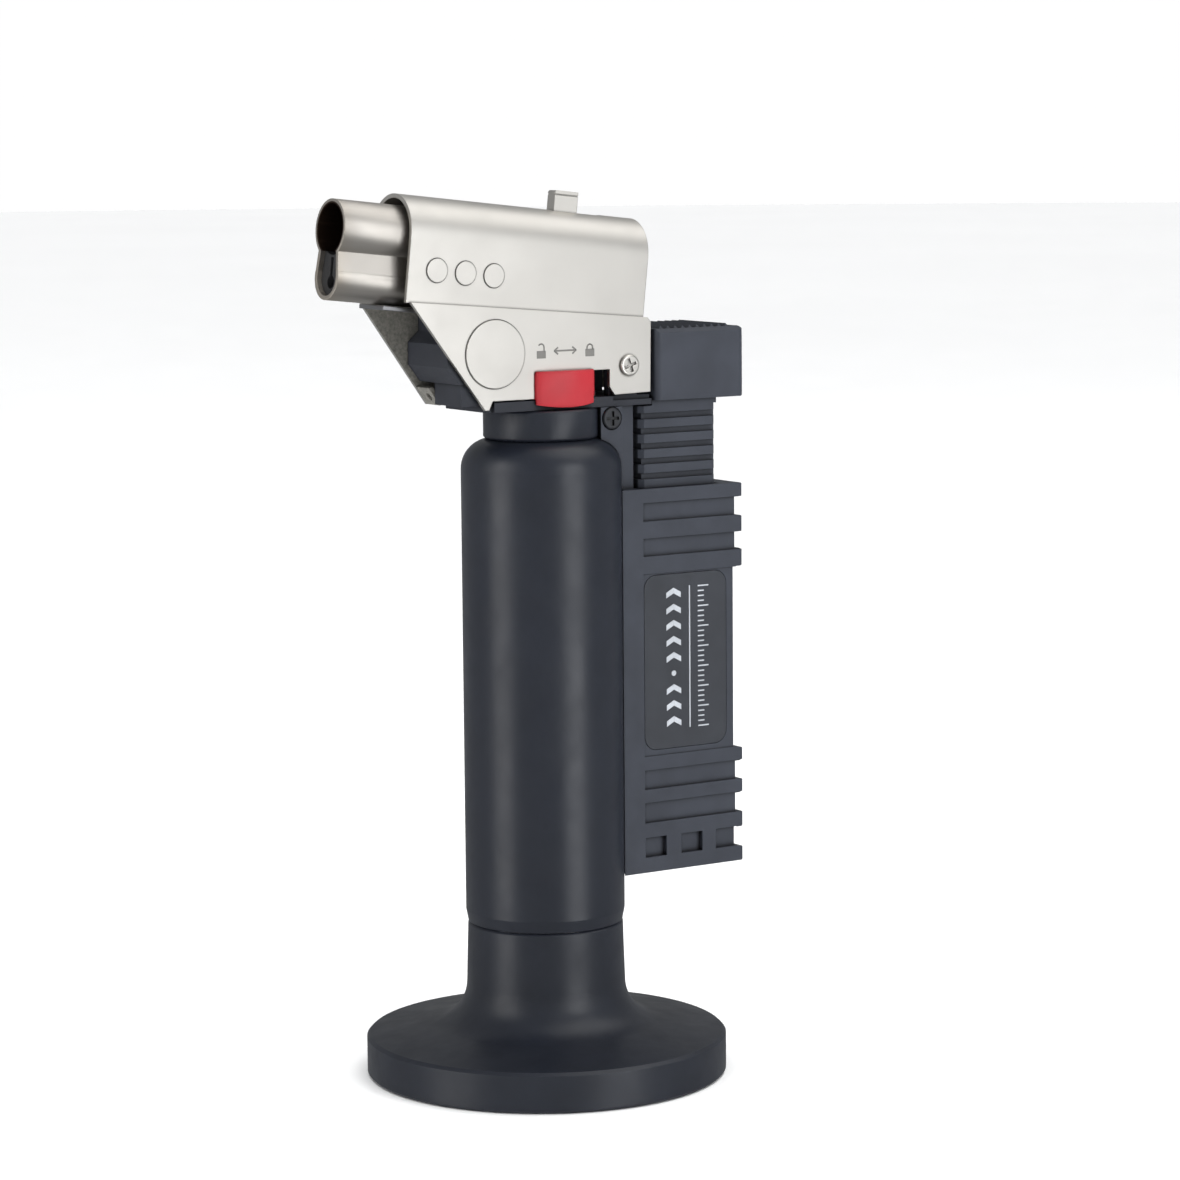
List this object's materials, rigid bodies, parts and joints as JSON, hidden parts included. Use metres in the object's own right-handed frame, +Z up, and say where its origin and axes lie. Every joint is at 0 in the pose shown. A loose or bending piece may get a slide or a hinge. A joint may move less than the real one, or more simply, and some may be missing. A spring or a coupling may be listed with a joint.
{
  "type": "butane torch",
  "caption": "Hand-held butane jet torch on a round lift-off stand, with a push-down piezo trigger, a sliding lock, an air tab and a two-lobe burner nozzle.",
  "frame": {"origin": "on the tank's axis, in the plane that the stand rests on", "axes": "+Z up along the tank, the nozzle points towards -X, and the lock slider is on the -Y side"},
  "size_m": [0.0878, 0.07, 0.1705],
  "materials": {
    "stand_plastic": "fine moulded satin, charcoal black",
    "tank_paint": "satin black paint on drawn metal",
    "collar_plastic": "satin charcoal",
    "grip_plastic": "fine moulded texture, dark blue-grey",
    "chassis_plastic": "moulded, dark",
    "cap_aluminium": "turned",
    "brass": "turned",
    "steel": "plain bright",
    "rubber": "smooth",
    "hose": "extruded",
    "lead_insulation": "extruded",
    "felt": "pressed felt",
    "nickel": "satin nickel plate",
    "nozzle_nickel": "satin nickel plate, slightly warm",
    "screw_nickel": "bright nickel",
    "screw_black": "black oxide",
    "insulator": "dark grey, fired",
    "red_plastic": "semi-gloss red",
    "plunger_plastic": "natural",
    "label": "printed plate"
  },
  "bodies": {
    "base": {"base_foot": "stand_plastic"},
    "torch": {"tank_shell": "tank_paint", "tank_collar": "collar_plastic", "grip_housing_left": "grip_plastic", "grip_housing_right": "grip_plastic", "head_chassis": "chassis_plastic", "piezo_body": "chassis_plastic", "tank_bottom_cap": "cap_aluminium", "fill_valve_body": "brass", "gas_valve_body": "brass", "injector": "brass", "fill_valve_spring": "steel", "valve_spring": "steel", "lever_pin": "steel", "trigger_spring": "steel", "chassis_screws": "steel", "grip_screws": "steel", "electrode_pin": "steel", "mixing_tube": "steel", "flame_holder": "steel", "tank_bottom_seal": "rubber", "fill_valve_seal": "rubber", "gas_valve_seal": "rubber", "gas_valve_gasket": "rubber", "gas_hose": "hose", "ignition_lead": "lead_insulation", "gas_filter": "felt", "barrel_casing": "nickel", "side_plate_left": "nickel", "side_plate_right": "nickel", "nozzle_support": "nickel", "nozzle_shroud": "nozzle_nickel", "cover_screws": "screw_nickel", "bracket_screws": "screw_black", "electrode_insulator": "insulator", "label_plates": "label"},
    "fill_stem": {"fill_valve_stem": "steel"},
    "trigger": {"trigger_cap": "grip_plastic", "trigger_stem": "grip_plastic", "piezo_plunger": "plunger_plastic"},
    "lever": {"valve_lever": "steel"},
    "gas_stem": {"valve_stem": "steel"},
    "lock": {"lock_slider": "red_plastic"},
    "air_control": {"air_shutter": "nickel"}
  },
  "joints": [
    {"name": "lift_off_stand", "type": "slide", "parent": "base", "child": "torch", "axis": [0, 0, 1], "range_m": [0, 0.017]},
    {"name": "refill_stem_push", "type": "slide", "parent": "torch", "child": "fill_stem", "axis": [0, 0, 1], "range_m": [0, 0.0015], "stiffness_N_per_m": 800, "springref_m": -0.0005, "deforming": ["fill_valve_spring"]},
    {"name": "trigger_press", "type": "slide", "parent": "torch", "child": "trigger", "axis": [0, 0, -1], "range_m": [0, 0.006], "stiffness_N_per_m": 2500, "springref_m": -0.002, "deforming": ["trigger_spring"]},
    {"name": "lever_rock", "type": "hinge", "parent": "torch", "child": "lever", "pos_m": [0.005, 0, 0.1365], "axis": [0, 1, 0], "range_deg": [0, 19.6]},
    {"name": "gas_stem_lift", "type": "slide", "parent": "torch", "child": "gas_stem", "axis": [0, 0, 1], "range_m": [0, 0.0017], "deforming": ["valve_spring"]},
    {"name": "lock_slide", "type": "slide", "parent": "torch", "child": "lock", "axis": [1, 0, 0], "range_m": [0, 0.0038]},
    {"name": "air_slide", "type": "slide", "parent": "torch", "child": "air_control", "axis": [0.994, 0, -0.1094], "range_m": [0, 0.005]}
  ],
  "couplings": [
    {"joint": "lever_rock", "follows": "trigger_press", "rad_per_m": 57},
    {"joint": "gas_stem_lift", "follows": "trigger_press", "ratio": 0.2833}
  ]
}
